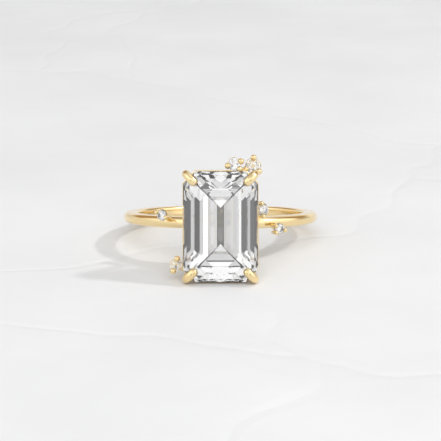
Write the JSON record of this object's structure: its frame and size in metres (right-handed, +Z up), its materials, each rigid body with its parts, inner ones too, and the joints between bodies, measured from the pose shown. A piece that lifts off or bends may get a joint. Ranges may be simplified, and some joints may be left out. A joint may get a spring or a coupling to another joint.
{
  "type": "engagement ring",
  "caption": "Slim gold ring with a long step-cut clear stone in a clawed basket and small round stones scattered in cups about it.",
  "frame": {"origin": "bottom centre of the bounding box, where the ring lies on a table", "axes": "+Z up from the table; -Y towards the head, whose stone faces -Y and a little up; +X to the right as seen from in front of the stone"},
  "size_m": [0.0198, 0.0256, 0.012],
  "materials": {
    "yellow_gold": null,
    "diamond": "colourless faceted gemstone"
  },
  "bodies": {
    "root": {"accent_1_cup": "yellow_gold", "accent_1_prong_1": "yellow_gold", "accent_1_prong_2": "yellow_gold", "accent_1_prong_3": "yellow_gold", "accent_1_stone": "diamond", "accent_2_cup": "yellow_gold", "accent_2_prong_1": "yellow_gold", "accent_2_prong_2": "yellow_gold", "accent_2_prong_3": "yellow_gold", "accent_2_stem": "yellow_gold", "accent_2_stone": "diamond", "accent_3_cup": "yellow_gold", "accent_3_prong_1": "yellow_gold", "accent_3_prong_2": "yellow_gold", "accent_3_stem": "yellow_gold", "accent_3_stone": "diamond", "accent_4_cup": "yellow_gold", "accent_4_prong_1": "yellow_gold", "accent_4_prong_2": "yellow_gold", "accent_4_stem": "yellow_gold", "accent_4_stone": "diamond", "accent_5_cup": "yellow_gold", "accent_5_prong_1": "yellow_gold", "accent_5_prong_2": "yellow_gold", "accent_5_stem": "yellow_gold", "accent_5_stone": "diamond", "accent_6_cup": "yellow_gold", "accent_6_prong_1": "yellow_gold", "accent_6_prong_2": "yellow_gold", "accent_6_prong_3": "yellow_gold", "accent_6_stem": "yellow_gold", "accent_6_stone": "diamond", "band": "yellow_gold", "base_rail": "yellow_gold", "centre_stone": "diamond", "claw_lower_left": "yellow_gold", "claw_lower_right": "yellow_gold", "claw_upper_left": "yellow_gold", "claw_upper_right": "yellow_gold", "gallery_rail": "yellow_gold"}
  },
  "joints": []
}
